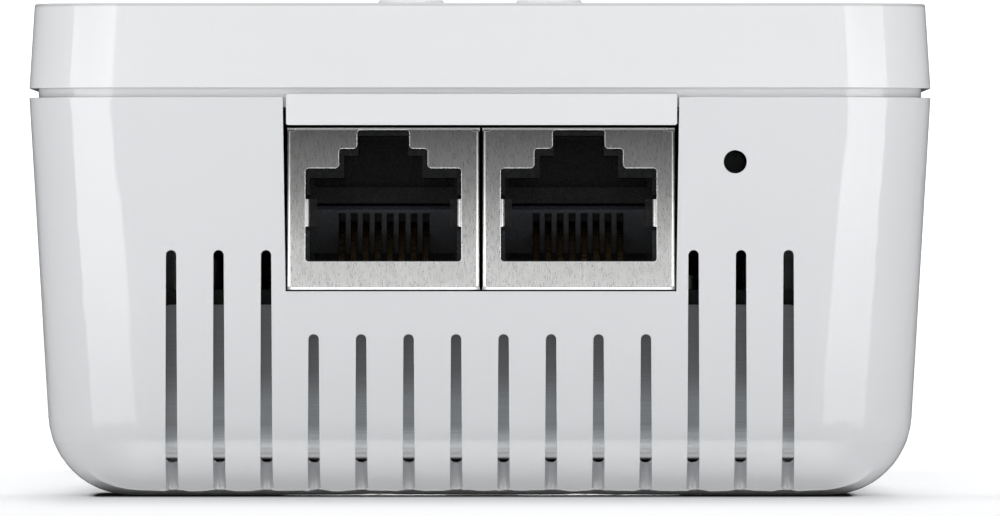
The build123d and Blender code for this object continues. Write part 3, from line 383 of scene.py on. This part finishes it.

# Slow changes of tone, metal and shine up the object, as (height in metres, factor); the tone lists are
# painted light and shade.
# Painted shade on the jack shields: darker towards their top, full again at the top rim.
SHIELD_PAINTED_SHADE = [(0.0174, 1.0), (0.0205, 0.88), (0.0262, 0.36), (0.03085, 0.16), (0.0310, 1.0), (0.0312, 1.0)]
# Painted highlight and shade in the jacks: a bright band near 24.4 mm, dark above it.
JACK_PAINTED_LIGHT = [
    (0.0198, 1.5),
    (0.0215, 2.0),
    (0.0236, 4.0),
    (0.0243, 8.0),
    (0.0245, 8.0),
    (0.0246, 0.3),
    (0.0262, 0.3),
    (0.0285, 0.6),
    (0.0312, 0.5),
]
# Painted light and shade on the heat plate: black at its foot, bright on its bend near 4.5 mm, duller
# above.
PLATE_PAINTED_LIGHT = [
    (0.0030, 0.0),
    (0.0036, 0.01),
    (0.0039, 0.3),
    (0.0042, 0.9),
    (0.0045, 1.0),
    (0.0052, 0.92),
    (0.0060, 0.62),
    (0.0080, 0.66),
    (0.0105, 0.48),
    (0.0160, 0.48),
]
PLATE_METAL = [(0.0030, 0.0), (0.0056, 0.0), (0.0062, 0.6), (0.0160, 0.8)]
# Painted shade: a dark hairline along the cover's top edge, near 41.4 mm.
COVER_PAINTED_SHADE = [(0.0330, 1.0), (0.0413, 1.0), (0.04138, 0.74), (0.04152, 0.74), (0.04158, 1.0), (0.0430, 1.0)]
# Painted light and shade on the shell: lighter at its foot, darker from 5 mm up.
SHELL_PAINTED_LIGHT = [(0.0, 1.1), (0.002, 1.0), (0.005, 0.87), (0.008, 0.865), (0.016, 0.885), (0.036, 0.895)]
SHELL_SHINE = [(0.0, 0.5), (0.00445, 0.5), (0.00475, 0.22), (0.009, 0.24), (0.026, 0.5), (0.036, 0.5)]

# Radii of soft edges, in metres.
SHELL_EDGE = 0.00010
SHEET_EDGE = 0.00007

shell_white = polished_plastic(
    "shell_white", WHITE_SHELL, edge=SHELL_EDGE, tone=SHELL_PAINTED_LIGHT, shine=SHELL_SHINE
)
plug_white = polished_plastic("plug_white", WHITE_SHELL, roughness=0.2)
cover_white = polished_plastic("cover_white", WHITE_COVER, tone=COVER_PAINTED_SHADE)
frame_white = polished_plastic("frame_white", WHITE_COVER)
button_white = polished_plastic("button_white", WHITE_BUTTON, roughness=0.4)
ivory = satin_plastic("ivory_plastic", (0.62, 0.61, 0.58))
black = satin_plastic("black_plastic", BLACK, roughness=0.26, grain=0.5, shine=0.25)
jack_black = satin_plastic("jack_plastic", BLACK, roughness=0.26, grain=0.5, shine=0.2, tone=JACK_PAINTED_LIGHT)
orange = satin_plastic("plunger_plastic", (0.55, 0.16, 0.05))
yellow = satin_plastic("film_capacitor", (0.62, 0.42, 0.05))
blue = polished_plastic("varistor_coat", (0.03, 0.10, 0.42), roughness=0.3, wave=0.2)
sleeve = polished_plastic("capacitor_sleeve", (0.02, 0.02, 0.045), roughness=0.25, wave=0.1)
glaze = polished_plastic("fuse_ceramic", (0.70, 0.67, 0.60), roughness=0.3, wave=0.1)
lamp = polished_plastic("lamp_lens", (0.75, 0.76, 0.62), roughness=0.2)
film = satin_plastic("insulating_film", (0.66, 0.60, 0.34), roughness=0.3)
pad = satin_plastic("thermal_pad", (0.28, 0.36, 0.46), roughness=0.7)
shield = brushed_metal("shield_steel", (0.88, 0.875, 0.86), UPRIGHT, 0.30, 0.06, SHIELD_PAINTED_SHADE, SHEET_EDGE)
tin = brushed_metal("tinned_sheet", (0.70, 0.70, 0.69), (7000.0, 300.0, 7000.0), 0.33, 0.10)
aluminium = brushed_metal(
    "brushed_aluminium", (0.80, 0.83, 0.85), ACROSS, 0.36, 0.14, PLATE_PAINTED_LIGHT, metal=PLATE_METAL
)
strap = brushed_metal("earth_strap", (0.68, 0.67, 0.64), (4000.0, 4000.0, 400.0), 0.28, 0.08)
nickel = turned_metal("plated_pin", (0.74, 0.72, 0.67))
zinc = turned_metal("screw_zinc", (0.62, 0.63, 0.64), 0.32)
spring = turned_metal("spring_wire", (0.60, 0.60, 0.61), 0.25)
brass = turned_metal("rolled_brass", (0.76, 0.58, 0.28), 0.28)
gold = turned_metal("contact_gold", (0.62, 0.42, 0.20), 0.30)
board = circuit_board("circuit_board", (0.003, 0.004, 0.0035), (0.02, 0.024, 0.02))
ferrite = wound_wire("wound_ferrite", (0.035, 0.035, 0.036), (0.55, 0.23, 0.10))
clear = clear_plastic("light_pipe_plastic", (0.92, 0.94, 0.96))
label = paper_label("label_film", (0.78, 0.78, 0.78))

LOOKS = {
    shell_white: ["rear_shell"],
    plug_white: ["plug_body"],
    cover_white: ["front_cover"],
    frame_white: ["mid_frame", "socket_insert"],
    button_white: ["pair_button", "wifi_button"],
    ivory: ["socket_base", "socket_shutter"],
    black: [
        "board_header",
        "lan_magnetics",
        "plc_chip",
        "bridge_rectifier",
        "reset_switch",
        "reset_plunger",
        "pair_switch",
        "wifi_switch",
    ],
    jack_black: ["jack_housing_left", "jack_housing_right"],
    orange: ["pair_plunger", "wifi_plunger"],
    yellow: ["x_capacitor"],
    blue: ["varistor"],
    sleeve: ["bulk_capacitors", "output_capacitors"],
    glaze: ["fuse"],
    lamp: ["leds"],
    film: ["insulating_sheet"],
    pad: ["thermal_pads"],
    shield: ["jack_shield_left", "jack_shield_right"],
    tin: ["wifi_can", "antenna_left", "antenna_right", "crystal"],
    aluminium: ["heat_plate", "chip_heatsink"],
    strap: ["plug_earth_strap", "socket_earth_strap"],
    nickel: ["live_pin", "neutral_pin"],
    zinc: ["case_screws", "board_screws"],
    spring: ["shutter_spring"],
    brass: ["live_contact", "neutral_contact"],
    gold: ["jack_contacts_left", "jack_contacts_right"],
    board: ["main_board", "upper_board", "power_board"],
    ferrite: ["coupling_transformer", "flyback_transformer", "common_mode_choke"],
    clear: ["light_pipe"],
    label: ["rating_label"],
}


def paint(node, material):
    """Gives a CAD node its material."""
    data = NODES[node].data
    data.materials.clear()
    data.materials.append(material)


def table_material():
    """Matt white that darkens softly towards the place where the case stands."""
    m = Material("table_white")
    tree = m.made.node_tree
    parts = m.nodes.new("ShaderNodeSeparateXYZ")
    m.links.new(m.place, parts.inputs[0])
    x, y = parts.outputs[0], parts.outputs[1]
    aside = arithmetic(tree, "ABSOLUTE", arithmetic(tree, "SUBTRACT", x, CONTACT_X))
    aside = arithmetic(tree, "SUBTRACT", aside, CONTACT_HALF_X)
    aside = arithmetic(tree, "MULTIPLY", arithmetic(tree, "MAXIMUM", aside, 0.0), SIDE_FALL)
    before = arithmetic(tree, "SUBTRACT", CONTACT_NEAR_Y, y)
    behind = arithmetic(tree, "SUBTRACT", y, CONTACT_FAR_Y)
    along = arithmetic(tree, "MAXIMUM", arithmetic(tree, "MAXIMUM", before, behind), 0.0)
    squares = [product(tree, value, value) for value in (aside, along)]
    away = arithmetic(tree, "SQRT", arithmetic(tree, "ADD", *squares))
    # Painted contact shadow: the table darkens towards where the case stands.
    share = m.ranged(away, 0.0, 1.0, 0.0, SHADE_REACH)
    painted_shadow = m.ramp(share, [(distance / SHADE_REACH, (factor,) * 3) for distance, factor in FLOOR_PAINTED_SHADOW])
    grain = m.ramp(m.noise(6.0, 3.0), [(0.3, (0.96, 0.96, 0.96)), (0.7, (0.98, 0.98, 0.98))])
    m.link(m.mix(1.0, grain, painted_shadow, "MULTIPLY"), "Base Color")
    m.set(Roughness=0.85, Specular_IOR_Level=0.0, Emission_Color=(1.0, 1.0, 1.0, 1.0))
    # Painted light: an emitted glow on the table, none close to the case.
    painted_glow = m.ranged(y, FRONT_LIFT, SIDE_LIFT, FRONT_LIFT_Y, SIDE_LIFT_Y)
    clear_of_case = m.ranged(away, 0.0, 1.0, LIFT_FROM, LIFT_TO)
    m.link(product(tree, painted_glow, clear_of_case), "Emission Strength")
    return m.made


def make_floor():
    """A wide pale table top just under the rear face, unseen in reflections."""
    mesh = bpy.data.meshes.new("table_top")
    sides = ((-1, -1), (1, -1), (1, 1), (-1, 1))
    mesh.from_pydata([(x * TABLE_HALF, y * TABLE_HALF, TABLE_Z) for x, y in sides], [], [(0, 1, 2, 3)])
    mesh.materials.append(table_material())
    floor = bpy.data.objects.new("table_top", mesh)
    floor.visible_glossy = False
    bpy.context.scene.collection.objects.link(floor)


def window(tree, value, low, high, soft):
    """1 inside a range of angles, falling softly to 0 over the width soft."""
    nodes, links = tree.nodes, tree.links
    sides = []
    for start, end in ((low - soft / 2, low + soft / 2), (high + soft / 2, high - soft / 2)):
        step = nodes.new("ShaderNodeMapRange")
        step.interpolation_type = "SMOOTHSTEP"
        step.inputs["From Min"].default_value = start
        step.inputs["From Max"].default_value = end
        links.new(value, step.inputs["Value"])
        sides.append(step.outputs["Result"])
    return arithmetic(tree, "MULTIPLY", sides[0], sides[1])


def arithmetic(tree, operation, first, second=None):
    """One maths node; each input may be a socket or a number."""
    node = tree.nodes.new("ShaderNodeMath")
    node.operation = operation
    for index, value in enumerate((first, second)):
        if isinstance(value, bpy.types.NodeSocket):
            tree.links.new(value, node.inputs[index])
        elif value is not None:
            node.inputs[index].default_value = value
    return node.outputs[0]


def product(tree, *factors):
    """The product of sockets and numbers, the first of them a socket."""
    result = factors[0]
    for factor in factors[1:]:
        result = arithmetic(tree, "MULTIPLY", result, factor)
    return result


def studio_strength(tree):
    """How bright the studio is in each direction."""
    direction = tree.nodes.new("ShaderNodeTexCoord").outputs["Generated"]
    parts = tree.nodes.new("ShaderNodeSeparateXYZ")
    tree.links.new(direction, parts.inputs[0])
    x, y, z = parts.outputs
    azimuth = arithmetic(tree, "ARCTAN2", x, product(tree, y, -1.0))
    turn = arithmetic(tree, "ABSOLUTE", azimuth)
    elevation = arithmetic(tree, "ARCSINE", z)

    overhead = window(tree, elevation, TOP_FROM, HALF_TURN, TOP_SOFT)
    back_overhead = window(tree, elevation, TOP_BACK_FROM, HALF_TURN, TOP_BACK_SOFT)
    back = window(tree, turn, BACK_FROM, TURN, BACK_SOFT)
    low = window(tree, elevation, LOW_FROM, LOW_TO, FLOOR_SOFT)
    steep = window(tree, elevation, -HALF_TURN, LOW_FROM, FLOOR_SOFT)
    middle = window(tree, x, -GLOW_HALF, GLOW_HALF, GLOW_SOFT)
    level = window(tree, elevation, LEVEL_FROM, LEVEL_TO, LEVEL_SOFT)
    behind = window(tree, turn, BEHIND_FROM, TURN, BEHIND_SOFT)
    left = window(tree, azimuth, -BOX_TO_LEFT, -BOX_FROM, BOX_SIDE_SOFT)
    right = window(tree, azimuth, BOX_FROM, BOX_TO_RIGHT, BOX_SIDE_SOFT)
    tall = window(tree, elevation, BOX_LOW, BOX_HIGH, BOX_END_SOFT)

    zones = [
        product(tree, overhead, TOP_FRONT - SKY),
        product(tree, back_overhead, back, TOP_BACK - TOP_FRONT),
        product(tree, low, LOW_FRONT - SKY),
        product(tree, steep, middle, FLOOR_GLOW - SKY),
        product(tree, behind, level, BEHIND - SKY),
        product(tree, arithmetic(tree, "ADD", left, right), tall, BOX_GLOW),
    ]
    total = SKY
    for zone in zones:
        total = arithmetic(tree, "ADD", zone, total)
    return total


def make_sky():
    """The studio as a world: a pale tent with two soft boxes, and a backdrop that only the camera sees."""
    world = bpy.data.worlds.new("studio")
    bpy.context.scene.world = world
    world.use_nodes = True
    tree = world.node_tree
    nodes, links = tree.nodes, tree.links
    tent = nodes.new("ShaderNodeBackground")
    tent.inputs["Color"].default_value = (0.985, 0.992, 1.0, 1.0)
    links.new(studio_strength(tree), tent.inputs["Strength"])
    backdrop = nodes.new("ShaderNodeBackground")
    backdrop.inputs["Color"].default_value = (1.0, 1.0, 1.0, 1.0)
    backdrop.inputs["Strength"].default_value = BACKDROP
    choose = nodes.new("ShaderNodeMixShader")
    links.new(nodes.new("ShaderNodeLightPath").outputs["Is Camera Ray"], choose.inputs["Fac"])
    links.new(tent.outputs[0], choose.inputs[1])
    links.new(backdrop.outputs[0], choose.inputs[2])
    links.new(choose.outputs[0], nodes["World Output"].inputs["Surface"])


def make_inner_light():
    """A weak strip of light that lies in the case under the heat plate's bend."""
    data = bpy.data.lights.new("inner_strip", "AREA")
    data.shape = "RECTANGLE"
    data.size = STRIP_LENGTH
    data.size_y = STRIP_WIDTH
    data.energy = STRIP_POWER
    strip = bpy.data.objects.new("inner_strip", data)
    strip.location = STRIP_PLACE
    strip.rotation_euler = (HALF_TURN, 0.0, 0.0)
    strip.visible_camera = False
    bpy.context.scene.collection.objects.link(strip)


def make_camera():
    """A long lens in front of the port end."""
    data = bpy.data.cameras.new("camera")
    data.sensor_width = SENSOR_WIDTH
    data.lens = SENSOR_WIDTH * CAMERA_DISTANCE / VIEW_WIDTH
    data.clip_start = 0.01
    data.clip_end = 50.0
    camera = bpy.data.objects.new("camera", data)
    camera.location = (CAMERA_X, PORT_END_Y - CAMERA_DISTANCE, CAMERA_Z)
    camera.rotation_euler = (math.pi / 2, 0.0, 0.0)
    bpy.context.scene.collection.objects.link(camera)
    bpy.context.scene.camera = camera


for material, names in LOOKS.items():
    for name in names:
        paint(name, material)
make_floor()
make_sky()
make_inner_light()
make_camera()
bpy.context.scene.view_settings.view_transform = "Standard"
